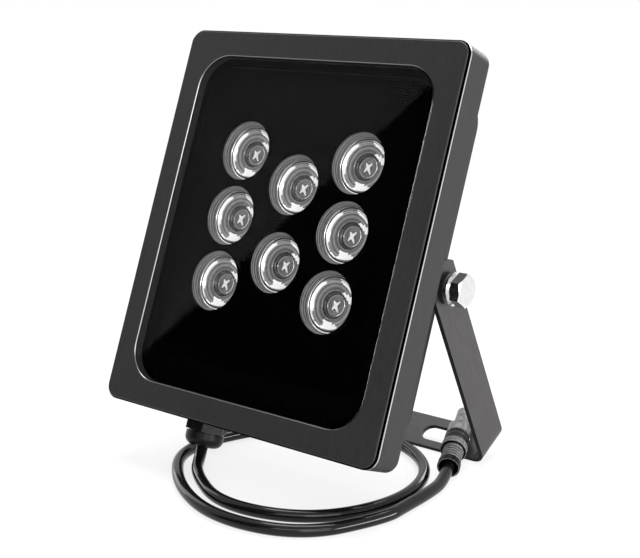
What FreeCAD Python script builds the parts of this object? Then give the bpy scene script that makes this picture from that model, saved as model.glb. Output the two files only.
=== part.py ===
import FreeCAD, Part
import math
import os

# Units are millimetres. The lamp is drawn upright in its own frame (x across,
# y back from the front face, z up the panel) and is then leaned back and set
# down, so that the row has +X right, +Y back and +Z up.

V = FreeCAD.Vector
past = 1.0  # how far a cutting shape runs past a face

# Front frame
frame_w = 120.0
frame_h = 137.7
frame_t = 12.8
frame_r = 5.0
edge_chamfer = 0.8
bezel = 9.3
window_r = 12.0
ledge_w = 3.0
glass_t = 3.0
glass_recess = 0.4
glass_gap = 0.15
glass_chamfer = 0.3
lip_chamfer = 0.3
gasket_t = 0.5
gasket_gap = 0.2
window_w = frame_w - 2 * bezel
window_h = frame_h - 2 * bezel
panel_z = frame_h / 2
glass_back = glass_recess + glass_t
rebate_y = glass_back + gasket_t
inner_w = window_w - 2 * ledge_w
inner_h = window_h - 2 * ledge_w
inner_r = window_r - ledge_w

# Rear housing, set in from the frame's edges, with fins along its back
joint_t = 0.8
rear_side = 9.5
rear_end = 8.85
rear_w = frame_w - 2 * rear_side
rear_h = frame_h - 2 * rear_end
rear_r = 8.0
rear_wall = 4.0
rear_deep = 14.4
rear_round = 2.5
floor_t = 5.0
rear_y = frame_t + joint_t
back_y = rear_y + rear_deep
floor_y = back_y - floor_t
bottom_z = panel_z - rear_h / 2
fin_reach = 10.0
fin_root = 2.6
fin_tip = 1.7
fin_count = 13
fin_pitch = 7.4
fin_end = 8.0
fin_inset = 3.0
fin_sink = 0.5

# Screw tabs round the joint
tab_w = 13.0
tab_t = 3.5
tab_out = 5.9
tab_xs = (-42.0, 0.0, 42.0)
screw_out = 2.9
screw_reach = rear_h / 2 + screw_out
screw_gap = 0.2
bore_gap = 0.05
rear_screw_r = 1.75
rear_screw_head_r = 2.7
rear_screw_head_t = 2.6
rear_screw_deep = 11.0
rear_socket_af = 2.6
rear_socket_deep = 1.4
pilot_more = 0.5

# Optics: three, two and three lenses behind a mask
lens_pitch = 23.5
lens_up = 3.25
lens_x = 24.6
lens_mid = 13.6
lens_z = panel_z + lens_up
mask_t = 1.0
mask_gap = 0.3
mask_hole_r = 10.65
holder_r = 11.5
cup_deep = 3.1
cup_steps = 3
lens_r = 9.8
seat_gap = 0.15
rim_t = 1.2
rim_flat = 0.9
rim_back = 8.5
dish_r = 4.6
dish_deep = 1.4
well_r = 4.2
well_deep = 3.4
eye_r = 3.45
eye_up = 0.2
flank_r = 7.3
flank_at = 6.8
flank_gap = 0.45
lens_back_r = 4.6
pocket_r = 3.2
pocket_deep = 2.2
pocket_cone = 1.0
pocket_top_r = 1.4
emitter_r = 2.2
emitter_base_r = 3.0
emitter_base_t = 0.8
emitter_t = 1.8

# Circuit board on the floor of the housing
board_t = 1.6
board_gap_x = 8.5
board_gap_z = 3.0
board_w = rear_w - 2 * (rear_wall + board_gap_x)
board_h = rear_h - 2 * (rear_wall + board_gap_z)
board_r = 3.0
board_edge_x = 5.0
board_edge_z = 7.0
board_screw_r = 1.5
board_screw_head_r = 2.75
board_screw_head_t = 1.9
board_screw_deep = 3.2
board_y = floor_y - board_t
mask_back = glass_back + mask_t
lens_y = mask_back + cup_deep
lens_clear = 0.6
lens_len = board_y - lens_y - lens_clear

# Pivot and bracket
lean = 21.563
pivot_back = 12.8
pivot_drop = 6.55
pivot_y = rear_y + pivot_back
pivot_z = panel_z - pivot_drop
arm_turn = 48.93
arm_len = 75.2
arm_w = 14.6
sheet = 1.6
bend_r = 5.0
arm_end_r = 9.4
arm_hole_r = 3.3
slot_in = 24.3
slot_out = 44.2
slot_r = 3.7
slot_shift = -0.5
centre_hole_r = 4.25
arm_gap = 0.1
boss_r = 6.5
boss_pad_r = 8.0
boss_pad_sink = 3.0
boss_len = 13.3
boss_stand = 1.3
bolt_r = 3.0
bolt_tail = 10.8
washer_gap = 0.2
friction_r = 7.0
friction_t = 1.0
rubber_r = 5.2
rubber_t = 1.9
flat_r = 5.6
flat_t = 1.3
spring_r = 4.6
spring_t = 1.2
spring_cut = 0.8
spring_slant = 25.0
head_t = 3.6
head_af = 10.0
head_crown = 0.5
head_turn = 16.0

# Cable gland under the rear housing
gland_x = -26.7
gland_back = 7.0
gland_y = rear_y + gland_back
gland_r = 6.0
gland_af = 14.0
gland_washer_r = 7.2
gland_washer_t = 1.2
gland_flange_t = 4.0
gland_neck_r = 5.7
gland_neck_len = 6.15
gland_bore_r = 4.2
cap_gap = 0.2
cap_af = 13.5
cap_hex_len = 7.45
cap_groove = 0.6
cap_groove_deep = 0.8
cap_r = 6.9
cap_corner = 3.1
cap_nose = 5.5
cap_lip = 1.5
cap_seat = 3.0
cap_neck_gap = 0.1
cap_flute = 0.3
cap_flute_w = 0.45
cap_flute_pitch = 1.05
cap_flutes = 6
seal_len = 9.0

# Cord, coil and plug, on the floor in front of the bar
cord_d = 4.2
cord_r = cord_d / 2
cord_in = 3.5
cord_play = 0.4
cord_lift = 0.02
corner_share = 0.45
drop_share = 0.75
cord_z = cord_r + cord_lift

# The loose turns as (degrees, radius) round their middle, then the way to the plug
coil_x = 10.0
coil_y = 30.0
coil_turns = [(-132.72, 39.06), (-91.99, 43.13), (-48.97, 44.94), (-5.93, 43.53),
              (36.03, 43.52), (77.99, 43.25), (119.98, 43.52), (154.38, 43.25),
              (196.59, 50.08), (236.17, 46.71), (273.31, 51.89), (307.51, 55.84)]
turn_after = 7
lead_outside = [(55.5, 7.7), (52.8, 31.7)]
lead_route = [(56.0, 23.7), (55.9, 36.7)]
plug_mouth = V(51.2, 56.5, 4.0)
plug_aim = V(-13.6, 31.7, 8.0)
plug_inset = 4.0
boot_len = 10.0
boot_r = 4.0
boot_neck_r = 3.7
boot_lip = 2.4
boot_recess = 1.6
boot_recess_w = 1.2
boot_ribs = 5
boot_rib = 1.4
boot_groove = 0.35
boot_groove_share = 0.4
collar_r = 4.65
collar_t = 3.2
collar_v = 0.25
head_r = 4.4
head_len = 5.6
head_groove = 0.3
head_groove_w = 0.5
head_grooves = (1.6, 4.1)
sleeve_r = 4.3
sleeve_len = 6.6
sleeve_cone = 1.2
sleeve_end = 0.4
barrel_r = 2.75
barrel_bore_r = 2.2
barrel_pin_r = 1.05
barrel_len = 9.9
barrel_wall = 1.4
barrel_round = 0.3
collar_start = boot_len
plug_head_start = collar_start + collar_t
sleeve_start = plug_head_start + head_len
barrel_start = sleeve_start + sleeve_len

# Derived places: the bar's front edge is the lowest line, at z = 0
lean_a = math.radians(lean)
arm_a = math.radians(arm_turn - lean)
pivot_wy = pivot_y * math.cos(lean_a) + pivot_z * math.sin(lean_a)
pivot_wz = pivot_z * math.cos(lean_a) - pivot_y * math.sin(lean_a)
floor_z = pivot_wz - arm_len * math.cos(arm_a) - arm_w / 2 * math.sin(arm_a)
rear_reach = pivot_wy + arm_len * math.sin(arm_a) + arm_w / 2 * math.cos(arm_a)
front_reach = edge_chamfer * math.sin(lean_a)
centre_y = (rear_reach + front_reach) / 2
gland_z = bottom_z - gland_washer_t
flange_z = gland_z - gland_flange_t
neck_z = flange_z - gland_neck_len
cap_top = flange_z - cap_gap
cap_hex_z = cap_top - cap_hex_len
cap_tip = cap_hex_z - cap_nose
boss_out = rear_w / 2 + boss_stand
boss_in = boss_out - boss_len
bolt_in = boss_out - bolt_tail
arm_inner = boss_out + friction_t + arm_gap
arm_outer = arm_inner + sheet
rubber_x = arm_outer + arm_gap
flat_x = rubber_x + rubber_t
spring_x = flat_x + flat_t
head_x = spring_x + spring_t


def arc(a, b, c):
    return Part.Arc(a, b, c).toShape()


def line(a, b):
    return Part.LineSegment(a, b).toShape()


def rounded_wire(w, h, r, y, cx, cz):
    """Rounded rectangle in the panel's plane."""
    k = r * (1 - math.sqrt(0.5))
    x0, x1, z0, z1 = cx - w / 2, cx + w / 2, cz - h / 2, cz + h / 2
    return Part.Wire([
        line(V(x0 + r, y, z0), V(x1 - r, y, z0)),
        arc(V(x1 - r, y, z0), V(x1 - k, y, z0 + k), V(x1, y, z0 + r)),
        line(V(x1, y, z0 + r), V(x1, y, z1 - r)),
        arc(V(x1, y, z1 - r), V(x1 - k, y, z1 - k), V(x1 - r, y, z1)),
        line(V(x1 - r, y, z1), V(x0 + r, y, z1)),
        arc(V(x0 + r, y, z1), V(x0 + k, y, z1 - k), V(x0, y, z1 - r)),
        line(V(x0, y, z1 - r), V(x0, y, z0 + r)),
        arc(V(x0, y, z0 + r), V(x0 + k, y, z0 + k), V(x0 + r, y, z0))])


def plate(w, h, r, y0, y1, cx=0.0, cz=panel_z):
    """Rounded plate between two depths."""
    return Part.Face(rounded_wire(w, h, r, y0, cx, cz)).extrude(V(0, y1 - y0, 0))


def rod(r, base, aim, length):
    return Part.makeCylinder(r, length, base, aim)


def hexagon(af, base, aim, length, turn=0.0):
    """Hexagonal prism along an axis."""
    r = af / math.sqrt(3)
    pts = [V(r * math.cos(math.radians(60 * k + turn)),
             r * math.sin(math.radians(60 * k + turn)), 0) for k in range(7)]
    solid = Part.Face(Part.makePolygon(pts)).extrude(V(0, 0, length))
    solid.Placement = FreeCAD.Placement(base, FreeCAD.Rotation(V(0, 0, 1), aim))
    return solid


def turned(edges, base, aim):
    """Solid of revolution from a closed profile in the (radius, along) plane."""
    solid = Part.Face(Part.Wire(edges)).revolve(V(0, 0, 0), V(0, 0, 1), 360)
    solid.Placement = FreeCAD.Placement(base, FreeCAD.Rotation(V(0, 0, 1), aim))
    return solid


def chain(points):
    """Straight edges through (radius, along) points."""
    pts = [V(r, 0, s) for r, s in points]
    return [line(a, b) for a, b in zip(pts, pts[1:])]


def turned_points(points, base, aim):
    return turned(chain(points + points[:1]), base, aim)


def group(solids):
    return Part.makeCompound(solids)


def lens_places():
    """Centres of the eight lenses: three, two and three."""
    rows = [(side * lens_x, lens_z + k * lens_pitch)
            for side in (-1, 1) for k in (-1, 0, 1)]
    return rows + [(0.0, lens_z - lens_mid), (0.0, lens_z + lens_mid)]


def rear_screw_places():
    return [(x, panel_z + side * screw_reach) for x in tab_xs for side in (-1, 1)]


def board_screw_places():
    x, z = board_w / 2 - board_edge_x, board_h / 2 - board_edge_z
    return [(kx * x, panel_z + kz * z) for kx in (-1, 0, 1) for kz in (-1, 1)]


def front_frame():
    body = plate(frame_w, frame_h, frame_r, 0, frame_t)
    rim = [e for e in body.Edges if all(abs(v.Y) < 1e-6 for v in e.Vertexes)]
    body = body.makeChamfer(edge_chamfer, rim)
    body = body.cut(plate(window_w, window_h, window_r, -past, rebate_y))
    x, z = window_w / 2 + bore_gap, window_h / 2 + bore_gap
    lip = [e for e in body.Edges if all(abs(v.Y) < 1e-6 and abs(v.X) < x
                                        and abs(v.Z - panel_z) < z for v in e.Vertexes)]
    body = body.makeChamfer(lip_chamfer, lip)
    body = body.cut(plate(inner_w, inner_h, inner_r, rebate_y - past, frame_t + past))
    deep = rear_screw_deep - tab_t - joint_t + pilot_more
    for x, z in rear_screw_places():
        body = body.cut(rod(rear_screw_r + bore_gap, V(x, frame_t + past, z), V(0, -1, 0),
                            deep + past))
    return body


def glass_gasket():
    ring = plate(window_w - 2 * gasket_gap, window_h - 2 * gasket_gap, window_r - gasket_gap,
                 glass_back, rebate_y)
    return ring.cut(plate(inner_w, inner_h, inner_r, 0, frame_t))


def window_glass():
    w, h = window_w - 2 * glass_gap, window_h - 2 * glass_gap
    body = plate(w, h, window_r - glass_gap, glass_recess, glass_back)
    rim = [e for e in body.Edges if all(abs(v.Y - glass_recess) < 1e-6 for v in e.Vertexes)]
    return body.makeChamfer(glass_chamfer, rim)


def lens_mask():
    w, h = inner_w - 2 * mask_gap, inner_h - 2 * mask_gap
    body = plate(w, h, inner_r - mask_gap, glass_back, mask_back)
    for x, z in lens_places():
        body = body.cut(rod(mask_hole_r, V(x, glass_back - past, z), V(0, 1, 0),
                            mask_t + 2 * past))
    return body


def lens_holders():
    """Cups with a stepped mouth, a seat for the lens's rim and a narrowing wall."""
    seat = lens_r + seat_gap
    back = lens_back_r + flank_gap
    pts = [(holder_r, board_y - mask_back), (holder_r, 0), (mask_hole_r, 0)]
    for k in range(1, cup_steps + 1):
        r = pts[-1][0]
        s = cup_deep * k / cup_steps
        pts += [(r, s), (mask_hole_r - (mask_hole_r - seat) * k / cup_steps, s)]
    pts += [(seat, cup_deep + rim_t), (rim_back + flank_gap, cup_deep + rim_t),
            (flank_r + flank_gap, cup_deep + flank_at), (back, cup_deep + lens_len),
            (back, board_y - mask_back)]
    return group([turned_points(pts, V(x, mask_back, z), V(0, 1, 0))
                  for x, z in lens_places()])


def tir_lens(x, z):
    """Lens with a dished face, a well with a raised eye, a curved reflecting
    flank and a pocket over the emitter."""
    pocket = lens_len - pocket_deep
    top = pocket - pocket_cone
    face = chain([(0, well_deep - eye_up), (eye_r, well_deep - eye_up), (eye_r, well_deep),
                  (well_r, well_deep), (dish_r, dish_deep), (lens_r - rim_flat, 0),
                  (lens_r, 0), (lens_r, rim_t), (rim_back, rim_t)])
    flank = arc(V(rim_back, 0, rim_t), V(flank_r, 0, flank_at), V(lens_back_r, 0, lens_len))
    back = chain([(lens_back_r, lens_len), (pocket_r, lens_len), (pocket_r, pocket),
                  (pocket_top_r, top), (0, top), (0, well_deep - eye_up)])
    return turned(face + [flank] + back, V(x, lens_y, z), V(0, 1, 0))


def tir_lenses():
    return group([tir_lens(x, z) for x, z in lens_places()])


def led_emitters():
    out = []
    for x, z in lens_places():
        base = V(x, board_y, z)
        out.append(rod(emitter_base_r, base, V(0, -1, 0), emitter_base_t).fuse(
            rod(emitter_r, base, V(0, -1, 0), emitter_t)))
    return group(out)


def led_board():
    body = plate(board_w, board_h, board_r, board_y, floor_y)
    for x, z in board_screw_places():
        body = body.cut(rod(board_screw_r + screw_gap, V(x, board_y - past, z), V(0, 1, 0),
                            board_t + 2 * past))
    return body


def board_screws():
    out = []
    for x, z in board_screw_places():
        base = V(x, board_y, z)
        shank = rod(board_screw_r, base, V(0, 1, 0), board_t + board_screw_deep)
        out.append(rod(board_screw_head_r, base, V(0, -1, 0), board_screw_head_t).fuse(shank))
    return group(out)


def rear_outline(y0, y1):
    """Outline of the rear housing's joint face, with its screw tabs."""
    body = plate(rear_w, rear_h, rear_r, y0, y1)
    reach = rear_h + 2 * tab_out
    round_r = (tab_w - bore_gap) / 2
    for x in tab_xs:
        body = body.fuse(plate(tab_w, reach, round_r, y0, y1, x))
    return body


def rear_gasket():
    body = rear_outline(frame_t, rear_y).removeSplitter()
    body = body.cut(plate(inner_w, inner_h, inner_r, frame_t - past, rear_y + past))
    for x, z in rear_screw_places():
        body = body.cut(rod(rear_screw_r + screw_gap, V(x, frame_t - past, z), V(0, 1, 0),
                            joint_t + 2 * past))
    return body


def cooling_fin(x):
    """Upright fin that thins towards its tip, with rounded outer corners."""
    z0, z1 = bottom_z + fin_inset, bottom_z + rear_h - fin_inset
    y0, y1, r = back_y - fin_sink, back_y + fin_reach, fin_end
    k = r * (1 - math.sqrt(0.5))
    side = Part.Wire([
        line(V(0, y0, z0), V(0, y1 - r, z0)),
        arc(V(0, y1 - r, z0), V(0, y1 - k, z0 + k), V(0, y1, z0 + r)),
        line(V(0, y1, z0 + r), V(0, y1, z1 - r)),
        arc(V(0, y1, z1 - r), V(0, y1 - k, z1 - k), V(0, y1 - r, z1)),
        line(V(0, y1 - r, z1), V(0, y0, z1)),
        line(V(0, y0, z1), V(0, y0, z0))])
    fin = Part.Face(side).extrude(V(fin_root, 0, 0))
    fin.translate(V(-fin_root / 2, 0, 0))
    half, tip = fin_root / 2, fin_tip / 2
    taper = Part.makePolygon([V(-half, y0, z0), V(half, y0, z0), V(tip, y1, z0),
                              V(-tip, y1, z0), V(-half, y0, z0)])
    fin = fin.common(Part.Face(taper).extrude(V(0, 0, z1 - z0)))
    fin.translate(V(x, 0, 0))
    return fin


def rear_shell():
    """Rounded tray with its tabs, fins and pivot bosses, still solid."""
    body = plate(rear_w, rear_h, rear_r, rear_y, back_y)
    back = [e for e in body.Edges if all(abs(v.Y - back_y) < 1e-6 for v in e.Vertexes)]
    body = body.makeFillet(rear_round, back)
    body = body.fuse(rear_outline(rear_y, rear_y + tab_t))
    first = -fin_pitch * (fin_count - 1) / 2
    body = body.fuse([cooling_fin(first + fin_pitch * k) for k in range(fin_count)])
    pad = rear_w / 2 - boss_pad_sink
    for s in (-1, 1):
        aim = V(s, 0, 0)
        body = body.fuse(rod(boss_r, V(s * boss_in, pivot_y, pivot_z), aim, boss_len))
        body = body.fuse(rod(boss_pad_r, V(s * pad, pivot_y, pivot_z), aim, boss_out - pad))
    return body


def rear_housing():
    """The casting with its cavity, bolt holes, cable hole and screw holes."""
    body = rear_shell()
    body = body.cut(plate(rear_w - 2 * rear_wall, rear_h - 2 * rear_wall, rear_r - rear_wall,
                          rear_y - past, floor_y))
    for s in (-1, 1):
        body = body.cut(rod(bolt_r + bore_gap, V(s * (boss_out + past), pivot_y, pivot_z),
                            V(-s, 0, 0), bolt_tail + 2 * past))
    base, up = V(gland_x, gland_y, bottom_z - past), V(0, 0, 1)
    body = body.cut(rod(gland_r + bore_gap, base, up, rear_wall + 2 * past))
    for x, z in rear_screw_places():
        body = body.cut(rod(rear_screw_r + screw_gap, V(x, rear_y - past, z), V(0, 1, 0),
                            tab_t + 2 * past))
    for x, z in board_screw_places():
        body = body.cut(rod(board_screw_r + bore_gap, V(x, floor_y - past, z), V(0, 1, 0),
                            board_screw_deep + pilot_more + past))
    return body.removeSplitter()


def rear_screws():
    out = []
    y = rear_y + tab_t
    for x, z in rear_screw_places():
        head = rod(rear_screw_head_r, V(x, y, z), V(0, 1, 0), rear_screw_head_t)
        shank = rod(rear_screw_r, V(x, y, z), V(0, -1, 0), rear_screw_deep)
        mouth = V(x, y + rear_screw_head_t + past, z)
        socket = hexagon(rear_socket_af, mouth, V(0, -1, 0), rear_socket_deep + past)
        out.append(head.fuse(shank).cut(socket))
    return group(out)


def washer(r_out, start, thick, side):
    """Ring round a pivot bolt, from a place outwards."""
    base, aim = V(side * start, pivot_y, pivot_z), V(side, 0, 0)
    return rod(r_out, base, aim, thick).cut(rod(bolt_r + washer_gap, base, aim, thick))


def friction_washers():
    return group([washer(friction_r, boss_out, friction_t, s) for s in (-1, 1)])


def rubber_washers():
    return group([washer(rubber_r, rubber_x, rubber_t, s) for s in (-1, 1)])


def flat_washers():
    return group([washer(flat_r, flat_x, flat_t, s) for s in (-1, 1)])


def spring_washer(s):
    """Split ring: the cut is a slanted gap at the back."""
    ring = washer(spring_r, spring_x, spring_t, s)
    wide = 4 * spring_t
    gap = Part.makeBox(wide, spring_r, spring_cut, V(-wide / 2, bolt_r / 2, -spring_cut / 2))
    gap.rotate(V(0, 0, 0), V(0, 1, 0), spring_slant)
    gap.translate(V(s * (spring_x + spring_t / 2), pivot_y, pivot_z))
    return ring.cut(gap)


def spring_washers():
    return group([spring_washer(s) for s in (-1, 1)])


def pivot_bolt(s):
    """Hexagon head with its corners turned off, on a plain shank."""
    aim, base = V(s, 0, 0), V(s * head_x, pivot_y, pivot_z)
    corner_r = head_af / math.sqrt(3)
    head = hexagon(head_af, base, aim, head_t, s * head_turn)
    crown = [(0, 0), (corner_r, 0), (corner_r, head_t - head_crown),
             (head_af / 2 - head_crown / 2, head_t), (0, head_t)]
    head = head.common(turned_points(crown, base, aim))
    return head.fuse(rod(bolt_r, base, V(-s, 0, 0), head_x - bolt_in))


def pivot_bolts():
    return group([pivot_bolt(s) for s in (-1, 1)])


def gland_body():
    axis, up = V(gland_x, gland_y, 0), V(0, 0, 1)
    body = hexagon(gland_af, axis + V(0, 0, flange_z), up, gland_flange_t)
    body = body.fuse(rod(gland_r, axis + V(0, 0, gland_z), up, gland_washer_t + rear_wall))
    body = body.fuse(rod(gland_neck_r, axis + V(0, 0, neck_z), up, gland_neck_len))
    return body.cut(rod(gland_bore_r, axis + V(0, 0, neck_z - past), up,
                        bottom_z + rear_wall - neck_z + 2 * past))


def gland_washer():
    base, up = V(gland_x, gland_y, gland_z), V(0, 0, 1)
    ring = rod(gland_washer_r, base, up, gland_washer_t)
    return ring.cut(rod(gland_r + bore_gap, base, up, gland_washer_t))


def gland_cap():
    """Hexagonal nut with fluted faces, a groove and a rounded nose."""
    axis, up = V(gland_x, gland_y, 0), V(0, 0, 1)
    nut = hexagon(cap_af, axis + V(0, 0, cap_hex_z), up, cap_hex_len)
    for face in range(0, 6, 2):
        for k in range(cap_flutes):
            off = (k - (cap_flutes - 1) / 2) * cap_flute_pitch
            corner = V(off - cap_flute_w / 2, cap_af / 2 - cap_flute, cap_hex_z - past)
            bar = Part.makeBox(cap_flute_w, cap_flute + past, cap_hex_len + 2 * past, corner)
            bar.rotate(V(0, 0, 0), up, 60 * face + 60)
            bar.translate(axis)
            nut = nut.cut(bar)
    zg = cap_hex_z - cap_groove
    zc = cap_tip + cap_corner
    k = cap_corner * (1 - math.sqrt(0.5))
    sides = chain([(0, cap_hex_z), (cap_r - cap_groove_deep, cap_hex_z),
                   (cap_r - cap_groove_deep, zg), (cap_r, zg), (cap_r, zc)])
    nose = arc(V(cap_r, 0, zc), V(cap_r - k, 0, cap_tip + k),
               V(cap_r - cap_corner, 0, cap_tip))
    end = chain([(cap_r - cap_corner, cap_tip), (0, cap_tip), (0, cap_hex_z)])
    body = nut.fuse(turned(sides + [nose] + end, axis, up))
    wide, play = gland_neck_r + cap_neck_gap, cord_r + cord_play
    hollow = [(0, cap_top + past), (wide, cap_top + past), (wide, neck_z - cap_gap),
              (gland_bore_r, cap_tip + cap_seat), (gland_bore_r, cap_tip + cap_lip),
              (play, cap_tip + cap_lip), (play, cap_tip - past), (0, cap_tip - past)]
    return body.cut(turned_points(hollow, axis, up))


def gland_seal():
    base, up = V(gland_x, gland_y, cap_tip + cap_lip), V(0, 0, 1)
    return rod(gland_bore_r - bore_gap, base, up, seal_len).cut(rod(cord_r, base, up, seal_len))


def bent_face(half, low, r):
    """Area under the outer or inner side of the bent sheet, seen from the front."""
    k = r * (1 - math.sqrt(0.5))
    y, top = -arm_w / 2, arm_end_r + past
    edges = [line(V(-half, y, top), V(-half, y, low + r)),
             arc(V(-half, y, low + r), V(-half + k, y, low + k), V(-half + r, y, low)),
             line(V(-half + r, y, low), V(half - r, y, low)),
             arc(V(half - r, y, low), V(half - k, y, low + k), V(half, y, low + r)),
             line(V(half, y, low + r), V(half, y, top)),
             line(V(half, y, top), V(-half, y, top))]
    return Part.Face(Part.Wire(edges)).extrude(V(0, arm_w, 0))


def bar_slot(s):
    a, b = slot_in + slot_r, slot_out - slot_r
    x, y, z, deep = min(s * a, s * b), slot_shift, -arm_len - past, sheet + 2 * past
    box = Part.makeBox(b - a, 2 * slot_r, deep, V(x, y - slot_r, z))
    ends = [rod(slot_r, V(s * e, y, z), V(0, 0, 1), deep) for e in (a, b)]
    return box.fuse(ends).removeSplitter()


def bracket():
    """Bent sheet drawn in its own frame: pivot at the origin, bar downwards."""
    body = bent_face(arm_outer, -arm_len, bend_r)
    body = body.cut(bent_face(arm_inner, -arm_len + sheet, bend_r - sheet))
    x, hw, low = -arm_outer - past, arm_w / 2, -arm_len - past
    shoulder = math.sqrt(arm_end_r ** 2 - hw ** 2)
    side = Part.Wire([
        line(V(x, -hw, low), V(x, hw, low)),
        line(V(x, hw, low), V(x, hw, shoulder)),
        arc(V(x, hw, shoulder), V(x, 0, arm_end_r), V(x, -hw, shoulder)),
        line(V(x, -hw, shoulder), V(x, -hw, low))])
    body = body.common(Part.Face(side).extrude(V(-2 * x, 0, 0)))
    body = body.cut(rod(arm_hole_r, V(x, 0, 0), V(1, 0, 0), -2 * x))
    body = body.cut([bar_slot(-1), bar_slot(1)])
    body = body.cut(rod(centre_hole_r, V(0, slot_shift, low), V(0, 0, 1), sheet + 2 * past))
    body = body.removeSplitter()
    body.Placement = FreeCAD.Placement(
        V(0, pivot_wy - centre_y, pivot_wz - floor_z),
        FreeCAD.Rotation(V(1, 0, 0), math.degrees(arm_a)))
    return body


def set_down(shape):
    """Lean the lamp back and set the bar's front edge on the floor."""
    place = FreeCAD.Placement(V(0, -centre_y, -floor_z), FreeCAD.Rotation(V(1, 0, 0), -lean))
    shape.Placement = place.multiply(shape.Placement)
    return shape


def on_floor(p):
    return V(p[0], p[1] - centre_y, cord_z)


def coil_points():
    """Corners of the loose turns, from the gland's side round and outwards."""
    out = []
    for degrees, r in coil_turns:
        a = math.radians(degrees)
        out.append((coil_x + r * math.cos(a), coil_y + r * math.sin(a)))
    return out


def gland_point(z):
    """Point on the gland's axis after the lamp is set down."""
    y = gland_y * math.cos(lean_a) + z * math.sin(lean_a) - centre_y
    return V(gland_x, y, z * math.cos(lean_a) - gland_y * math.sin(lean_a) - floor_z)


def gland_corner():
    """Where the gland's axis comes down to the cord's height."""
    return gland_point((cord_z + floor_z + gland_y * math.sin(lean_a)) / math.cos(lean_a))


def plug_point(s):
    aim = V(plug_aim)
    aim.normalize()
    return plug_mouth + V(0, -centre_y, 0) + aim * s


def plug_corner():
    """Where the plug's axis comes down to the cord's height, before its mouth."""
    return plug_point((cord_z - plug_mouth.z) * plug_aim.Length / plug_aim.z)


def bend_path(points, closed=False):
    """Straight runs and tangent arcs through a list of route points."""
    count = len(points)
    picks = range(count) if closed else range(1, count - 1)
    edges, radii = [], []
    last = None if closed else points[0]
    first = None
    for k in picks:
        a, b, c = points[k - 1], points[k], points[(k + 1) % count]
        u, w = (a - b), (c - b)
        reach = corner_share * min(u.Length, w.Length)
        u.normalize()
        w.normalize()
        half = (math.pi - u.getAngle(w)) / 2
        radius = reach / math.tan(half)
        p, q = b + u * reach, b + w * reach
        mid = u + w
        mid.normalize()
        m = b + mid * (radius / math.cos(half) - radius)
        if last is not None:
            edges.append(line(last, p))
        edges.append(arc(p, m, q))
        radii.append(radius)
        last = q
        first = first or p
    edges.append(line(last, first if closed else points[-1]))
    return Part.Wire(edges), radii


def tube(points):
    path, radii = bend_path(points)
    ring = Part.Wire(Part.makeCircle(cord_r, points[0], points[1] - points[0]))
    solid = path.makePipeShell([ring], True, True)
    ratio = solid.Volume / (math.pi * cord_r ** 2 * path.Length)
    print("tube length", round(path.Length, 1), "volume ratio", round(ratio, 4),
          "radii", [round(r, 1) for r in radii])
    return solid


def cord_drop():
    """From the gland down to the floor and as far as the coil."""
    corner = gland_corner()
    end = corner + (on_floor(coil_points()[0]) - corner) * drop_share
    return tube([gland_point(cap_tip + cord_in), corner, end])


def cord_lead():
    return tube([on_floor(p) for p in lead_route] + [plug_corner(), plug_point(plug_inset)])


def cord_coil():
    """One closed ring of the loose turns' outer shape, with bevelled edges."""
    turns = coil_points()
    outer = turns[turn_after:] + lead_outside + turns[4:turn_after]
    inner = turns[turn_after:turn_after + 2] + turns[:turn_after]
    down = V(0, 0, -cord_r)
    outer, _ = bend_path([on_floor(p) + down for p in outer], True)
    inner, _ = bend_path([on_floor(p) + down for p in inner], True)
    big = Part.Face(outer.makeOffset2D(cord_r))
    small = Part.Face(inner.makeOffset2D(-cord_r))
    ring = big.cut(small).extrude(V(0, 0, cord_d))
    flat = [e for e in ring.Edges if abs(e.BoundBox.ZMax - e.BoundBox.ZMin) < 1e-3]
    return ring.makeChamfer(cord_r / 2, flat)


def on_plug(profile, start):
    return turned_points(profile, plug_point(start), plug_aim)


def plug_boot():
    """Ribbed boot: a lip with a recess round the cord, then fine ribs."""
    low = boot_neck_r - boot_groove
    pts = [(cord_r, boot_recess), (cord_r + boot_recess_w, 0), (boot_r, 0), (boot_r, boot_lip)]
    for k in range(boot_ribs):
        s = boot_lip + k * boot_rib
        mid = s + boot_rib * boot_groove_share
        pts += [(low, s), (low, mid), (boot_neck_r, mid), (boot_neck_r, s + boot_rib)]
    pts += [(boot_neck_r, boot_len), (0, boot_len), (0, plug_inset), (cord_r, plug_inset)]
    return on_plug(pts, 0)


def plug_collar():
    low, mid, v = collar_r - collar_v, collar_t / 2, collar_v
    pts = [(0, 0), (low, 0), (collar_r, v), (collar_r, mid - v), (low, mid),
           (collar_r, mid + v), (collar_r, collar_t - v), (low, collar_t), (0, collar_t)]
    return on_plug(pts, collar_start)


def plug_head():
    low = head_r - head_groove
    pts = [(0, 0), (head_r, 0)]
    for s in head_grooves:
        end = s + head_groove_w
        pts += [(head_r, s), (low, s), (low, end), (head_r, end)]
    pts += [(head_r, head_len), (0, head_len)]
    return on_plug(pts, plug_head_start)


def plug_sleeve():
    pts = [(0, 0), (sleeve_r, 0), (sleeve_r, sleeve_len - sleeve_cone),
           (barrel_r + sleeve_end, sleeve_len), (0, sleeve_len)]
    return on_plug(pts, sleeve_start)


def plug_barrel():
    pts = [(0, 0), (barrel_r, 0), (barrel_r, barrel_len - barrel_round),
           (barrel_r - barrel_round, barrel_len), (barrel_bore_r, barrel_len),
           (barrel_bore_r, barrel_wall), (0, barrel_wall)]
    return on_plug(pts, barrel_start)


def plug_insulator():
    end = barrel_len - barrel_round
    pts = [(barrel_pin_r, barrel_wall), (barrel_bore_r, barrel_wall), (barrel_bore_r, end),
           (barrel_pin_r, end)]
    return on_plug(pts, barrel_start)


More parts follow.
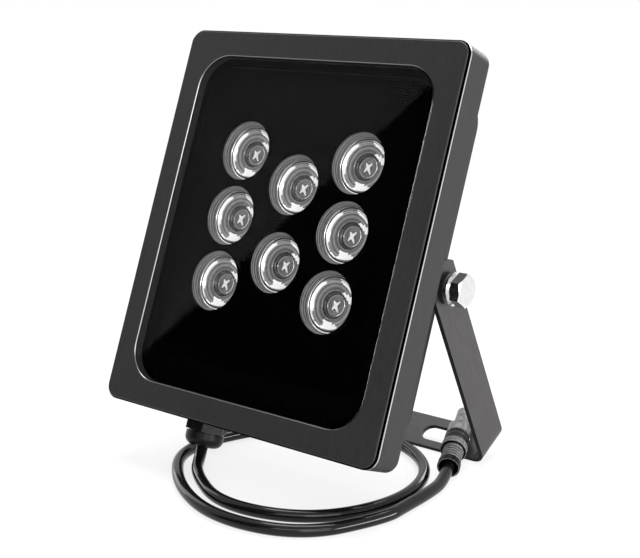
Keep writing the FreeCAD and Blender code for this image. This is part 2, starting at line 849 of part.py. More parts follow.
lamp_parts = [front_frame, window_glass, glass_gasket, lens_mask, lens_holders, tir_lenses,
              led_emitters, led_board, board_screws, rear_gasket, rear_housing, rear_screws,
              friction_washers, rubber_washers, flat_washers, spring_washers, pivot_bolts,
              gland_body, gland_washer, gland_cap, gland_seal]
set_parts = [bracket, cord_drop, cord_coil, cord_lead, plug_boot, plug_collar, plug_head,
             plug_sleeve, plug_barrel, plug_insulator]

os.makedirs("parts", exist_ok=True)
for make in lamp_parts:
    set_down(make()).exportStep("parts/" + make.__name__ + ".step")
for make in set_parts:
    make().exportStep("parts/" + make.__name__ + ".step")
print("pivot", pivot_wy - centre_y, pivot_wz - floor_z, "centre", centre_y, "floor", floor_z)
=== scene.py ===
import math

import bmesh
import bpy
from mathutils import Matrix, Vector


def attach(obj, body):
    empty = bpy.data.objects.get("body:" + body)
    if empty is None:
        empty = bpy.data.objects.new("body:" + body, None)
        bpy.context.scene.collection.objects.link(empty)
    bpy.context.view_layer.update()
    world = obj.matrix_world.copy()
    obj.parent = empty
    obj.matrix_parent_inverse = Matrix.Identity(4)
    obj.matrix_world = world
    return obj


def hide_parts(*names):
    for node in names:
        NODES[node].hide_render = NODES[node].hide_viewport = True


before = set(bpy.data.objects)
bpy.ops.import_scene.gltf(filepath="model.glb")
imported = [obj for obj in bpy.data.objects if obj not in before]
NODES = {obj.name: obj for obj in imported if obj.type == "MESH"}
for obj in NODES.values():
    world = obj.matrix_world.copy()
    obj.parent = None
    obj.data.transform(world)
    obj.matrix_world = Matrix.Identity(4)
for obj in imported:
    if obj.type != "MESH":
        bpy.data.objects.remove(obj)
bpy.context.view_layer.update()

MM = 0.001
HOUSING = "housing"

# The lamp leans back by LEAN; its own frame has x across, y back, z up the panel
LEAN = math.radians(21.563)
CENTRE_Y = 44.397344
FLOOR_Z = -21.902125
PANEL_Z = 68.85
CORD_D = 4.2
CORD_Z = CORD_D / 2 + 0.02
# Upright coordinates of the world's origin, in metres: back from the front face, up from
# the panel's middle
LAMP_DEPTH = (CENTRE_Y * math.cos(LEAN) - FLOOR_Z * math.sin(LEAN)) * MM
LAMP_RISE = (CENTRE_Y * math.sin(LEAN) + FLOOR_Z * math.cos(LEAN) - PANEL_Z) * MM
FRAME_HALF_W, FRAME_HALF_H = 60.0 * MM, 68.85 * MM


def lamp(x, y, z):
    """A point of the lamp's own upright frame, in millimetres, as set down."""
    c, s = math.cos(LEAN), math.sin(LEAN)
    return Vector((x, y * c + z * s - CENTRE_Y, z * c - y * s - FLOOR_Z)) * MM


def floor_point(x, y):
    """A point of the cord's centreline where the cord lies on the floor."""
    return Vector((x, y - CENTRE_Y, CORD_Z)) * MM


# Camera, solved from the corners of frame and window, in millimetres

CAMERA_PLACE = (276.13, -342.147, 170.812)
CAMERA_AIM = (-0.60511, 0.76134, -0.23282)
FOCAL_LENGTH = 72.41


def add_camera():
    data = bpy.data.cameras.new("camera")
    data.sensor_width = 36.0
    data.lens = FOCAL_LENGTH
    data.clip_end = 100.0
    cam = bpy.data.objects.new("camera", data)
    bpy.context.scene.collection.objects.link(cam)
    cam.location = Vector(CAMERA_PLACE) * MM
    cam.rotation_euler = Vector(CAMERA_AIM).to_track_quat("-Z", "Y").to_euler()
    bpy.context.scene.camera = cam
    bpy.context.scene.view_settings.view_transform = "Standard"


add_camera()


# Cord: the route's points as in the source, gland to plug

COIL_X, COIL_Y = 10.0, 30.0
COIL_TURNS = [(-132.72, 39.06), (-91.99, 43.13), (-48.97, 44.94), (-5.93, 43.53),
              (36.03, 43.52), (77.99, 43.25), (119.98, 43.52), (154.38, 43.25),
              (196.59, 50.08), (236.17, 46.71), (273.31, 51.89), (307.51, 55.84),
              (339.51, 49.43)]
LEAD_ROUTE = [(56.0, 23.7), (55.9, 36.7)]
PLUG_MOUTH = Vector((51.2, 56.5 - CENTRE_Y, 4.0)) * MM
PLUG_AIM = Vector((-13.6, 31.7, 8.0)).normalized()
GLAND_X, GLAND_Y, CAP_TIP = -26.7, 20.6, -9.5
# How far the cord reaches into the gland and into the boot
INTO_GLAND, INTO_BOOT = 3.5, 4.0


def cord_route():
    low = (CORD_Z + FLOOR_Z + GLAND_Y * math.sin(LEAN)) / math.cos(LEAN)
    points = [lamp(GLAND_X, GLAND_Y, CAP_TIP + INTO_GLAND), lamp(GLAND_X, GLAND_Y, low)]
    for degrees, r in COIL_TURNS:
        a = math.radians(degrees)
        points.append(floor_point(COIL_X + r * math.cos(a), COIL_Y + r * math.sin(a)))
    points += [floor_point(x, y) for x, y in LEAD_ROUTE]
    down = (CORD_Z * MM - PLUG_MOUTH.z) / PLUG_AIM.z
    points += [PLUG_MOUTH + PLUG_AIM * down, PLUG_MOUTH + PLUG_AIM * INTO_BOOT * MM]
    return points


def add_cord():
    data = bpy.data.curves.new("cord", "CURVE")
    data.dimensions = "3D"
    spline = data.splines.new("NURBS")
    points = cord_route()
    spline.points.add(len(points) - 1)
    for p, q in zip(spline.points, points):
        p.co = (q.x, q.y, q.z, 1.0)
        p.radius = CORD_D / 2 * MM
    spline.order_u = 3
    spline.use_endpoint_u = True
    spline.resolution_u = 24
    data.bevel_depth = 1.0
    data.bevel_resolution = 8
    obj = bpy.data.objects.new("cord", data)
    bpy.context.scene.collection.objects.link(obj)
    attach(obj, HOUSING)
    return obj


cord = add_cord()


# Materials

def grey(level):
    return (level, level, level)


def new_material(name):
    mat = bpy.data.materials.new(name)
    mat.use_nodes = True
    tree = mat.node_tree
    return mat, tree, tree.nodes["Principled BSDF"]


def add_node(tree, kind, **values):
    node = tree.nodes.new(kind)
    for key, value in values.items():
        if key in node.inputs:
            node.inputs[key].default_value = value
        else:
            setattr(node, key, value)
    return node


def lamp_coords(tree, stretch=(1.0, 1.0, 1.0), lean=LEAN):
    """Object coordinates turned upright with the lamp, then stretched."""
    coord = add_node(tree, "ShaderNodeTexCoord")
    turn = add_node(tree, "ShaderNodeMapping")
    turn.inputs["Rotation"].default_value = (lean, 0.0, 0.0)
    scale = add_node(tree, "ShaderNodeMapping")
    scale.inputs["Scale"].default_value = stretch
    tree.links.new(coord.outputs["Object"], turn.inputs["Vector"])
    tree.links.new(turn.outputs["Vector"], scale.inputs["Vector"])
    return scale.outputs["Vector"]


def noise(tree, vector, scale, detail=3.0, rough=0.55):
    node = add_node(tree, "ShaderNodeTexNoise", Scale=scale, Detail=detail, Roughness=rough)
    tree.links.new(vector, node.inputs["Vector"])
    return node.outputs["Fac"]


def ramp(tree, value, low, high, a, b):
    """Maps a value from low..high to a..b."""
    node = add_node(tree, "ShaderNodeMapRange")
    node.inputs["From Min"].default_value = low
    node.inputs["From Max"].default_value = high
    node.inputs["To Min"].default_value = a
    node.inputs["To Max"].default_value = b
    tree.links.new(value, node.inputs["Value"])
    return node.outputs["Result"]


def mix_colour(tree, value, a, b):
    node = add_node(tree, "ShaderNodeMix", data_type="RGBA")
    node.inputs["A"].default_value = (*a, 1.0)
    node.inputs["B"].default_value = (*b, 1.0)
    tree.links.new(value, node.inputs["Factor"])
    return node.outputs["Result"]


def bump(tree, bsdf, value, strength, distance):
    node = add_node(tree, "ShaderNodeBump", Strength=strength, Distance=distance)
    tree.links.new(value, node.inputs["Height"])
    tree.links.new(node.outputs["Normal"], bsdf.inputs["Normal"])


def painted(name, dark, light, rough, grain, stretch, lean=LEAN, specular=0.5):
    """Satin paint on brushed metal: fine stretched grain in colour, gloss and height."""
    mat, tree, bsdf = new_material(name)
    coords = lamp_coords(tree, stretch, lean)
    fine = noise(tree, coords, grain, 4.0)
    broad = noise(tree, lamp_coords(tree, (1, 1, 1), lean), 45.0, 2.0)
    tree.links.new(mix_colour(tree, ramp(tree, fine, 0.3, 0.7, 0.0, 1.0), dark, light),
                   bsdf.inputs["Base Color"])
    tree.links.new(ramp(tree, broad, 0.3, 0.7, rough - 0.04, rough + 0.05),
                   bsdf.inputs["Roughness"])
    bump(tree, bsdf, fine, 0.25, 0.00008)
    bsdf.inputs["Specular IOR Level"].default_value = specular
    return mat


def plain(name, dark, light, rough, scale, strength, metallic=0.0, coat=0.0, specular=0.5):
    """Moulded or plated surface with faint mottling."""
    mat, tree, bsdf = new_material(name)
    fine = noise(tree, lamp_coords(tree), scale, 3.0)
    tree.links.new(mix_colour(tree, ramp(tree, fine, 0.3, 0.7, 0.0, 1.0), dark, light),
                   bsdf.inputs["Base Color"])
    tree.links.new(ramp(tree, fine, 0.3, 0.7, rough * 0.85, rough * 1.15),
                   bsdf.inputs["Roughness"])
    bump(tree, bsdf, fine, strength, 0.00005)
    bsdf.inputs["Metallic"].default_value = metallic
    bsdf.inputs["Coat Weight"].default_value = coat
    bsdf.inputs["Coat Roughness"].default_value = 0.08
    bsdf.inputs["Specular IOR Level"].default_value = specular
    return mat


def band(tree, value, low, high):
    """1 where the value lies between low and high, else 0."""
    node = add_node(tree, "ShaderNodeMath", operation="COMPARE")
    node.inputs[1].default_value = (low + high) / 2
    node.inputs[2].default_value = (high - low) / 2
    tree.links.new(value, node.inputs[0])
    return node.outputs[0]


def math_node(tree, operation, a, b=None):
    node = add_node(tree, "ShaderNodeMath", operation=operation)
    for socket, value in zip(node.inputs, (a, b)):
        if isinstance(value, float):
            socket.default_value = value
        elif value is not None:
            tree.links.new(value, socket)
    return node.outputs[0]


# Depths behind the frame's front face, in millimetres, and the share of the frame's half
# width or height from which its outer edge counts
# The ring and lip depths hold painted highlights, the black and groove depths painted shade
BLACK_DEPTHS, RING_DEPTHS = (0.3, 2.1), (1.15, 1.85)
LIP_DEPTHS, GROOVE_DEPTHS = (0.02, 0.28), (0.28, 0.6)
OUTER_SHARE = 0.955


def paint_edge_light_and_shade(mat, tone, lip_tone, rough):
    """Round the frame a bright metallic ring of painted highlight between lines of painted shade;
    round the window a lip of painted highlight over a groove of painted shade."""
    tree = mat.node_tree
    bsdf = tree.nodes["Principled BSDF"]
    split = add_node(tree, "ShaderNodeSeparateXYZ")
    tree.links.new(lamp_coords(tree), split.inputs[0])
    across, back, up = split.outputs
    depth = math_node(tree, "ADD", back, LAMP_DEPTH)
    side = math_node(tree, "DIVIDE", math_node(tree, "ABSOLUTE", across), FRAME_HALF_W)
    end = math_node(tree, "ABSOLUTE", math_node(tree, "ADD", up, LAMP_RISE))
    outer = math_node(tree, "GREATER_THAN",
                      math_node(tree, "MAXIMUM", side,
                                math_node(tree, "DIVIDE", end, FRAME_HALF_H)), OUTER_SHARE)
    inner = math_node(tree, "SUBTRACT", 1.0, outer)

    def layer(where, depths):
        low, high = depths
        return math_node(tree, "MULTIPLY", where, band(tree, depth, low * MM, high * MM))

    # Masks of the painted highlights and of the painted shade
    ring = layer(outer, RING_DEPTHS)
    lip = layer(inner, LIP_DEPTHS)
    black = math_node(tree, "MAXIMUM", layer(outer, BLACK_DEPTHS), layer(inner, GROOVE_DEPTHS))
    highlight_bands = math_node(tree, "MAXIMUM", ring, lip)
    for mask, colour in ((black, grey(0.0)), (ring, tone), (lip, lip_tone)):
        old = bsdf.inputs["Base Color"].links[0].from_socket
        mix = add_node(tree, "ShaderNodeMix", data_type="RGBA")
        mix.inputs["B"].default_value = (*colour, 1.0)
        tree.links.new(mask, mix.inputs["Factor"])
        tree.links.new(old, mix.inputs["A"])
        tree.links.new(mix.outputs["Result"], bsdf.inputs["Base Color"])
    old = bsdf.inputs["Roughness"].links[0].from_socket
    smooth = math_node(tree, "MINIMUM", old,
                       math_node(tree, "SUBTRACT", 1.0,
                                 math_node(tree, "MULTIPLY", highlight_bands, 1.0 - rough)))
    dull = math_node(tree, "MAXIMUM", smooth,
                     math_node(tree, "SUBTRACT", black, highlight_bands))
    tree.links.new(dull, bsdf.inputs["Roughness"])
    tree.links.new(math_node(tree, "MAXIMUM", highlight_bands, black), bsdf.inputs["Metallic"])


def ring_shaded(name, dark, light, rough, pitch, strength=0.2, metallic=0.0, specular=0.3):
    """Moulded surface with painted light and shade: lighter and darker rings, one to each pitch
    of depth in millimetres.
    """
    mat = plain(name, dark, light, rough, 700.0, strength, metallic, specular=specular)
    tree = mat.node_tree
    split = add_node(tree, "ShaderNodeSeparateXYZ")
    tree.links.new(lamp_coords(tree), split.inputs[0])
    wave = math_node(tree, "SINE", math_node(tree, "MULTIPLY", split.outputs[1],
                                             2 * math.pi / (pitch * MM)))
    mottle = noise(tree, lamp_coords(tree), 700.0, 3.0)
    level = math_node(tree, "ADD", ramp(tree, wave, -1.0, 1.0, 0.0, 0.8),
                      ramp(tree, mottle, 0.3, 0.7, 0.0, 0.2))
    tree.links.new(mix_colour(tree, level, dark, light),
                   tree.nodes["Principled BSDF"].inputs["Base Color"])
    return mat


def shade_cut_edges(mat, facing, share):
    """Painted shade: the sheared edges that face this way are made dull and dark."""
    tree = mat.node_tree
    bsdf = tree.nodes["Principled BSDF"]
    coord = add_node(tree, "ShaderNodeTexCoord")
    dot = add_node(tree, "ShaderNodeVectorMath", operation="DOT_PRODUCT")
    dot.inputs[1].default_value = facing
    tree.links.new(coord.outputs["Normal"], dot.inputs[0])
    kept = ramp(tree, dot.outputs["Value"], 0.6, 0.8, 1.0, 1.0 - share)
    shade = add_node(tree, "ShaderNodeVectorMath", operation="SCALE")
    tree.links.new(bsdf.inputs["Base Color"].links[0].from_socket, shade.inputs[0])
    tree.links.new(kept, shade.inputs["Scale"])
    tree.links.new(shade.outputs[0], bsdf.inputs["Base Color"])
    rough = bsdf.inputs["Roughness"].links[0].from_socket
    tree.links.new(math_node(tree, "MAXIMUM", rough, math_node(tree, "SUBTRACT", 1.0, kept)),
                   bsdf.inputs["Roughness"])


def rib_highlighted(name, low, high):
    """Black plastic on the plug, painted paler as a highlight on ribs that rise from low to high,
    in mm.
    """
    mat = plain(name, grey(0.004), grey(0.008), 0.25, 1200.0, 0.04,
                specular=0.08)
    tree = mat.node_tree
    coord = add_node(tree, "ShaderNodeTexCoord")
    arm = add_node(tree, "ShaderNodeVectorMath", operation="SUBTRACT")
    arm.inputs[1].default_value = PLUG_MOUTH
    cross = add_node(tree, "ShaderNodeVectorMath", operation="CROSS_PRODUCT")
    cross.inputs[1].default_value = PLUG_AIM
    radius = add_node(tree, "ShaderNodeVectorMath", operation="LENGTH")
    tree.links.new(coord.outputs["Object"], arm.inputs[0])
    tree.links.new(arm.outputs[0], cross.inputs[0])
    tree.links.new(cross.outputs[0], radius.inputs[0])
    mottle = noise(tree, lamp_coords(tree), 900.0, 2.0)
    # What stands past the ribs, such as the boot's lip, gets no painted highlight and stays dark
    crest_light = math_node(tree, "MULTIPLY",
                     ramp(tree, radius.outputs["Value"], low * MM, high * MM, 0.0, 1.0),
                     math_node(tree, "LESS_THAN", radius.outputs["Value"], (high + 0.15) * MM))
    crest = math_node(tree, "MULTIPLY", crest_light, ramp(tree, mottle, 0.3, 0.7, 0.5, 1.0))
    tree.links.new(mix_colour(tree, crest, grey(0.001), grey(0.17)),
                   tree.nodes["Principled BSDF"].inputs["Base Color"])
    return mat


def window_material():
    """Clear glass whose front reflects weakly, and more as it slants away."""
    mat, tree, bsdf = new_material("window_glass")
    clear = add_node(tree, "ShaderNodeBsdfTransparent", Color=(0.995, 0.995, 0.995, 1.0))
    weight = add_node(tree, "ShaderNodeLayerWeight", Blend=0.5)
    mix = add_node(tree, "ShaderNodeMixShader")
    gloss = add_node(tree, "ShaderNodeBsdfGlossy", Color=(0.25, 0.25, 0.25, 1.0))
    coord = add_node(tree, "ShaderNodeTexCoord")
    dot = add_node(tree, "ShaderNodeVectorMath", operation="DOT_PRODUCT")
    dot.inputs[1].default_value = (0.0, -math.cos(LEAN), math.sin(LEAN))
    tree.links.new(coord.outputs["Normal"], dot.inputs[0])
    # The dot is 1 on the front face and about 0.7 on its chamfer, which is ground
    ground = math_node(tree, "MULTIPLY", band(tree, dot.outputs["Value"], 0.5, 0.9), 0.44)
    slant = math_node(tree, "POWER", weight.outputs["Facing"], 5.0)
    share = math_node(tree, "MULTIPLY", ramp(tree, slant, 0.0, 1.0, 0.03, 1.0),
                      band(tree, dot.outputs["Value"], 0.3, 1.1))
    smear = noise(tree, lamp_coords(tree), 60.0, 2.0)
    tree.links.new(ramp(tree, smear, 0.3, 0.7, 0.006, 0.014), gloss.inputs["Roughness"])
    tree.links.new(math_node(tree, "MAXIMUM", share, ground), mix.inputs[0])
    tree.links.new(clear.outputs[0], mix.inputs[1])
    tree.links.new(gloss.outputs[0], mix.inputs[2])
    tree.links.new(mix.outputs[0], tree.nodes["Material Output"].inputs["Surface"])
    return mat


def dress(obj, mat):
    obj.data.materials.clear()
    obj.data.materials.append(mat)


# The bracket's arms lean the other way
ARM_LEAN = -math.radians(27.367)

frame_paint = painted("frame_paint", (0.0115, 0.011, 0.011), (0.0185, 0.0175, 0.0175), 0.42,
                      1700.0, (1.0, 1.0, 0.12), specular=0.22)
# Painted highlight and painted shade along the frame's outer edge and round the window
paint_edge_light_and_shade(frame_paint, (0.55, 0.54, 0.54), grey(0.17), 0.25)
housing_paint = painted("housing_paint", (0.013, 0.0125, 0.0125), (0.021, 0.020, 0.020), 0.45,
                        900.0, (1.0, 1.0, 0.5), specular=0.22)
bracket_paint = painted("bracket_paint", (0.021, 0.0190, 0.0195), (0.032, 0.029, 0.0295), 0.40,
                        900.0, (1.0, 1.0, 0.12), lean=ARM_LEAN, specular=0.3)
# Painted shade on the bracket's cut edges that face front and down
shade_cut_edges(bracket_paint, (0.0, -0.888, -0.460), 0.85)
glass = window_material()
black_mask = plain("mask_black", grey(0.0006), grey(0.0012), 0.9, 300.0, 0.1, specular=0.0)
# Painted light and shade: lighter and darker rings on the cups, the lens cones and the eyes
cup_grey = ring_shaded("cup_grey", grey(0.01), grey(0.26), 0.35, 1.05)
lens_rim = plain("lens_rim", grey(0.34), grey(0.44), 0.15, 500.0, 0.05, metallic=0.9)
lens_cone = ring_shaded("lens_cone", grey(0.10), grey(0.34), 0.2, 0.27, 0.05, metallic=0.25,
                   specular=0.5)
# Painted shade in the well round each lens eye
lens_well_shade = plain("lens_well_shade", grey(0.03), grey(0.08), 0.25, 500.0, 0.05, metallic=0.3)
lens_eye = ring_shaded("lens_eye", grey(0.08), grey(0.28), 0.15, 0.2, 0.05, metallic=0.2, specular=0.5)
# Painted shade in the groove of each lens rim
lens_groove_shade = plain("lens_groove_shade", grey(0.003), grey(0.006), 0.5, 500.0, 0.05, specular=0.1)
lens_die = plain("lens_die", grey(0.7), grey(0.9), 0.3, 900.0, 0.05)
# Painted highlights on arcs of the lens faces, plain white and mirror-bright
lens_glint = plain("lens_glint", grey(0.93), grey(0.99), 0.1, 500.0, 0.02, coat=1.0)
lens_gleam = plain("lens_gleam", grey(0.88), grey(0.97), 0.12, 500.0, 0.02, metallic=0.7)
rubber = plain("black_rubber", grey(0.010), grey(0.014), 0.55, 1500.0, 0.3, specular=0.15)
steel = plain("plated_steel", (0.72, 0.72, 0.73), grey(0.80), 0.14, 600.0, 0.08, metallic=1.0)
nylon = plain("gland_plastic", grey(0.003), grey(0.006), 0.3, 500.0, 0.01, specular=0.14)
# Painted highlights on the rib crests of the boot and the collar
boot_plastic = rib_highlighted("boot_plastic", 3.42, 3.66)
collar_plastic = rib_highlighted("collar_plastic", 4.42, 4.6)
jacket = plain("cord_jacket", grey(0.003), grey(0.005), 0.12, 1000.0, 0.05, specular=0.24)
nickel = plain("plug_metal", grey(0.09), grey(0.22), 0.3, 500.0, 0.2, metallic=0.4, specular=0.3)
board = plain("board_white", (0.6, 0.6, 0.58), (0.66, 0.66, 0.64), 0.4, 500.0, 0.1)
emitter = plain("emitter_white", (0.8, 0.76, 0.5), (0.84, 0.8, 0.55), 0.3, 500.0, 0.05)

LOOKS = {
    "front_frame": frame_paint, "rear_housing": housing_paint, "bracket": bracket_paint,
    "window_glass": glass, "glass_gasket": black_mask, "rear_gasket": rubber,
    "lens_mask": black_mask, "lens_holders": cup_grey, "tir_lenses": lens_cone,
    "led_emitters": emitter, "led_board": board, "board_screws": steel, "rear_screws": steel,
    "friction_washers": rubber, "rubber_washers": rubber, "flat_washers": steel,
    "spring_washers": steel, "pivot_bolts": steel, "gland_body": nylon, "gland_washer": rubber,
    "gland_cap": nylon, "gland_seal": rubber, "plug_boot": boot_plastic,
    "plug_collar": collar_plastic, "plug_head": nylon, "plug_sleeve": nickel,
    "plug_barrel": nickel, "plug_insulator": nylon}

for name, look in LOOKS.items():
    dress(NODES[name], look)
cord.data.materials.append(jacket)
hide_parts("cord_drop", "cord_coil", "cord_lead")


# Lens faces: turned rings with a moulded eye over the emitter, with painted highlights and painted
# shade

# Depth of the rims' plane behind the frame's front face
LENS_Y = 7.5
# GROOVE and DARK rings carry painted shade, GLINT and GLEAM arcs painted highlights
RIM, GROOVE, CONE, DARK, EYE, DIE, GLINT, GLEAM = range(8)
# Radius, depth behind the rim plane, finish, and the arcs in degrees that get painted highlights
LENS_PROFILE = [
    (9.85, 1.0, RIM, []), (9.85, 0.1, RIM, []), (9.75, -0.12, RIM, [(-140, -55)]),
    (9.5, -0.12, RIM, [(125, 232), (-140, -60), (5, 40)]), (9.38, 0.05, GROOVE, []),
    (9.3, 0.6, GROOVE, []), (9.02, 0.6, GROOVE, []), (8.95, 0.0, CONE, [(35, 82), (130, 225)]),
    (8.7, 0.2, CONE, [(130, 225), (-135, -110)]),
    (8.55, 0.32, GROOVE, [(120, 225), (-130, -100)]),
    (8.45, 0.45, CONE, [(36, 80), (124, 205), (-112, -62)]),
    (7.9, 0.8, CONE, [(40, 76), (-108, -64)]),
    (7.4, 0.95, CONE, [(8, 30), (-112, -70)]), (6.6, 1.12, CONE, [(12, 42), (-116, -80)]),
    (5.8, 1.25, CONE, [(24, 56)]), (5.2, 1.3, CONE, [(40, 62)]),
    (4.8, 1.35, DARK, []), (4.6, 1.9, DARK, []), (4.45, 2.3, DARK, []),
    (3.75, 2.6, RIM, []), (3.6, 2.4, RIM, [(-70, 40)]), (3.42, 2.4, EYE, []),
    (3.3, 2.7, EYE, []), (2.8, 2.5, EYE, []), (2.0, 2.25, EYE, []), (1.0, 2.08, EYE, [])]
DIE_ARMS = [(48, 2.0), (128, 1.7), (232, 2.0), (300, 2.5)]
DIE_SHIFT = 0.35
EYE_DEPTH = 2.02
# Half the spacing of the outer columns, the pitch in them, half the pitch of the middle
# pair, and how far the whole group lies above the panel's middle
COLUMN_X, ROW_PITCH, PAIR_RISE, GROUP_RISE = 24.6, 23.5, 13.6, 3.25


def lens_places():
    """Two columns of three, then the pair between them."""
    middle = PANEL_Z + GROUP_RISE
    columns = [(side * COLUMN_X, middle + k * ROW_PITCH) for side in (-1, 1) for k in (-1, 0, 1)]
    return columns + [(0.0, middle - PAIR_RISE), (0.0, middle + PAIR_RISE)]


def add_lens(bm, cx, cz, steps=120):
    rings = []
    for r, s, _, _ in LENS_PROFILE:
        rings.append([bm.verts.new(lamp(cx + r * math.cos(2 * math.pi * k / steps), LENS_Y + s,
                                        cz + r * math.sin(2 * math.pi * k / steps)))
                      for k in range(steps)])
    for j in range(len(rings) - 1):
        for k in range(steps):
            n = (k + 1) % steps
            face = bm.faces.new((rings[j][k], rings[j][n], rings[j + 1][n], rings[j + 1][k]))
            at = 360.0 * (k + 0.5) / steps
            lit = any(a <= turned <= b for a, b in LENS_PROFILE[j][3] for turned in (at, at - 360))
            # Painted highlights: arcs on the left are mirror-bright, the others plain white
            bright = GLEAM if 100 < at < 235 else GLINT
            face.material_index = bright if lit else LENS_PROFILE[j][2]
            face.smooth = True
    top = bm.verts.new(lamp(cx, LENS_Y + EYE_DEPTH, cz))
    for k in range(steps):
        face = bm.faces.new((rings[-1][k], rings[-1][(k + 1) % steps], top))
        face.material_index = EYE
        face.smooth = True


def add_die(bm, cx, cz):
    """Star-shaped emitter image on the eye: four tapered raised arms."""
    for degrees, length in DIE_ARMS:
        a = math.radians(degrees)
        c, s = math.cos(a), math.sin(a)
        low, high = [], []
        for u, w in ((0.0, 0.55), (length * 0.45, 0.42), (length, 0.16)):
            for side in (-1, 1):
                x = cx + DIE_SHIFT + u * c - side * w * s
                z = cz + u * s + side * w * c
                low.append(bm.verts.new(lamp(x, LENS_Y + 2.3, z)))
                high.append(bm.verts.new(lamp(x, LENS_Y + 1.8 + 0.08 * u, z)))
        for k in (0, 2):
            quads = [(high[k], high[k + 1], high[k + 3], high[k + 2]),
                     (low[k], high[k], high[k + 2], low[k + 2]),
                     (low[k + 1], high[k + 1], high[k + 3], low[k + 3])]
            for quad in quads:
                bm.faces.new(quad).material_index = DIE
        bm.faces.new((low[4], high[4], high[5], low[5])).material_index = DIE


def finish_mesh(bm, name, mats):
    bmesh.ops.recalc_face_normals(bm, faces=bm.faces)
    mesh = bpy.data.meshes.new(name)
    bm.to_mesh(mesh)
    bm.free()
    for mat in mats:
        mesh.materials.append(mat)
    obj = bpy.data.objects.new(name, mesh)
    bpy.context.scene.collection.objects.link(obj)
    return obj


def add_lens_faces():
    bm = bmesh.new()
    for x, z in lens_places():
        add_lens(bm, x, z)
        add_die(bm, x, z)
    obj = finish_mesh(bm, "lens_faces", [lens_rim, lens_groove_shade, lens_cone, lens_well_shade, lens_eye,
                                         lens_die, lens_glint, lens_gleam])
    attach(obj, HOUSING)
    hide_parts("tir_lenses")


add_lens_faces()


# Floor, surroundings and lights

FLOOR_HALF = 6.0
# Distances from the origin, in metres, between which the floor's glow rises to 1
GLOW_NEAR, GLOW_FAR, GLOW_LEAST = 0.12, 0.7, 0.78


def add_floor():
    """White floor that glows less beside the lamp, so that the lamp's shadow stays."""
    mesh = bpy.data.meshes.new("floor")
    s = FLOOR_HALF
    mesh.from_pydata([(-s, -s, 0), (s, -s, 0), (s, s, 0), (-s, s, 0)], [], [(0, 1, 2, 3)])
    obj = bpy.data.objects.new("floor", mesh)
    bpy.context.scene.collection.objects.link(obj)
    mat, tree, bsdf = new_material("floor")
    bsdf.inputs["Base Color"].default_value = (0.9, 0.9, 0.9, 1.0)
    bsdf.inputs["Roughness"].default_value = 0.9
    path = add_node(tree, "ShaderNodeLightPath")
    glow = add_node(tree, "ShaderNodeEmission", Color=(1, 1, 1, 1), Strength=1.0)
    mix = add_node(tree, "ShaderNodeMixShader")
    seen = add_node(tree, "ShaderNodeMath", operation="MAXIMUM")
    coord = add_node(tree, "ShaderNodeTexCoord")
    far = add_node(tree, "ShaderNodeVectorMath", operation="LENGTH")
    tree.links.new(coord.outputs["Object"], far.inputs[0])
    share = add_node(tree, "ShaderNodeMath", operation="MULTIPLY")
    tree.links.new(ramp(tree, far.outputs["Value"], GLOW_NEAR, GLOW_FAR, GLOW_LEAST, 1.0),
                   share.inputs[1])
    tree.links.new(path.outputs["Is Camera Ray"], seen.inputs[0])
    tree.links.new(path.outputs["Is Glossy Ray"], seen.inputs[1])
    tree.links.new(seen.outputs[0], share.inputs[0])
    tree.links.new(share.outputs[0], mix.inputs[0])
    tree.links.new(bsdf.outputs[0], mix.inputs[1])
    tree.links.new(glow.outputs[0], mix.inputs[2])
    tree.links.new(mix.outputs[0], tree.nodes["Material Output"].inputs["Surface"])
    mesh.materials.append(mat)


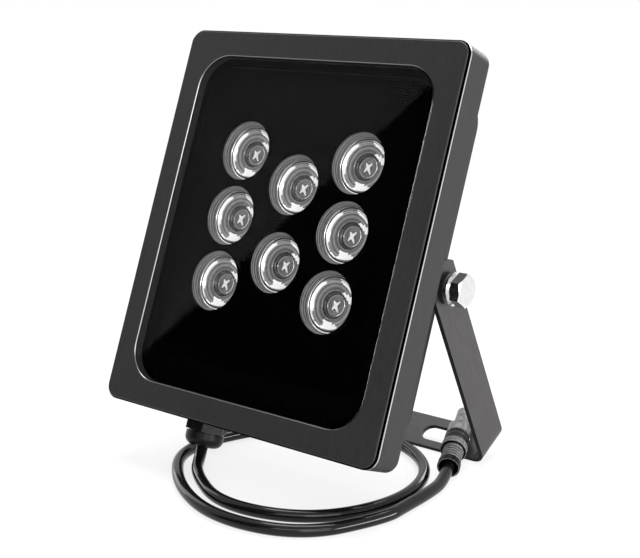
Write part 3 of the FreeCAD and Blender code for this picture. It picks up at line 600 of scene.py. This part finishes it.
def add_world():
    """Soft white light, seen as plain white by the camera and in reflections."""
    world = bpy.data.worlds.new("world")
    bpy.context.scene.world = world
    world.use_nodes = True
    tree = world.node_tree
    tree.nodes.clear()
    path = add_node(tree, "ShaderNodeLightPath")
    soft = add_node(tree, "ShaderNodeBackground", Color=(1, 1, 1, 1), Strength=0.5)
    white = add_node(tree, "ShaderNodeBackground", Color=(1, 1, 1, 1), Strength=1.0)
    seen = add_node(tree, "ShaderNodeMath", operation="MAXIMUM")
    mix = add_node(tree, "ShaderNodeMixShader")
    out = add_node(tree, "ShaderNodeOutputWorld")
    tree.links.new(path.outputs["Is Camera Ray"], seen.inputs[0])
    tree.links.new(path.outputs["Is Glossy Ray"], seen.inputs[1])
    also = add_node(tree, "ShaderNodeMath", operation="MAXIMUM")
    tree.links.new(seen.outputs[0], also.inputs[0])
    tree.links.new(path.outputs["Is Transmission Ray"], also.inputs[1])
    tree.links.new(also.outputs[0], mix.inputs[0])
    tree.links.new(soft.outputs[0], mix.inputs[1])
    tree.links.new(white.outputs[0], mix.inputs[2])
    tree.links.new(mix.outputs[0], out.inputs["Surface"])


def add_light(name, place, target, size, power):
    data = bpy.data.lights.new(name, "AREA")
    data.shape = "RECTANGLE"
    data.size, data.size_y = size
    data.energy = power
    obj = bpy.data.objects.new(name, data)
    bpy.context.scene.collection.objects.link(obj)
    obj.location = place
    obj.rotation_euler = (Vector(target) - Vector(place)).to_track_quat("-Z", "Y").to_euler()
    obj.visible_camera = False


def add_card(name, centre, across, up, corners):
    """Black card that only reflections see."""
    centre, across, up = Vector(centre), Vector(across), Vector(up)
    mesh = bpy.data.meshes.new(name)
    mesh.from_pydata([centre + across * u + up * v for u, v in corners], [],
                     [tuple(range(len(corners)))])
    obj = bpy.data.objects.new(name, mesh)
    bpy.context.scene.collection.objects.link(obj)
    mat, tree, bsdf = new_material(name)
    bsdf.inputs["Base Color"].default_value = (0.0, 0.0, 0.0, 1.0)
    bsdf.inputs["Specular IOR Level"].default_value = 0.0
    bsdf.inputs["Roughness"].default_value = 1.0
    mesh.materials.append(mat)
    obj.visible_camera = False
    obj.visible_diffuse = False
    obj.visible_shadow = False
    obj.visible_transmission = False


add_floor()
add_world()
add_card("card_front", (-0.5663, -0.6311, 0.4247), (-0.73396, 0.67919, 0.0),
         (0.25564, 0.27625, 0.92646), [(-0.198, 0.585), (0.204, -0.576), (-0.6, -0.576),
                                       (-0.9, 0.585)])
add_light("right", (0.75, -0.55, 0.32), (0, 0, 0.06), (0.6, 0.85), 5.0)
add_light("front", (0.3, -1.0, 0.7), (0, 0, 0.06), (1.5, 0.15), 5.0)
add_light("side", (0.7, 0.1, 0.06), (0, 0, 0.02), (0.6, 0.2), 7.0)
add_light("top", (-0.1, 0.3, 1.1), (0, 0, 0.06), (0.9, 0.7), 14.0)
add_light("left", (-0.9, 0.1, 0.3), (0, 0, 0.06), (0.4, 0.8), 2.0)
add_light("back", (-0.07, 1.15, 0.48), (0, 0, 0.08), (0.5, 0.25), 2.5)
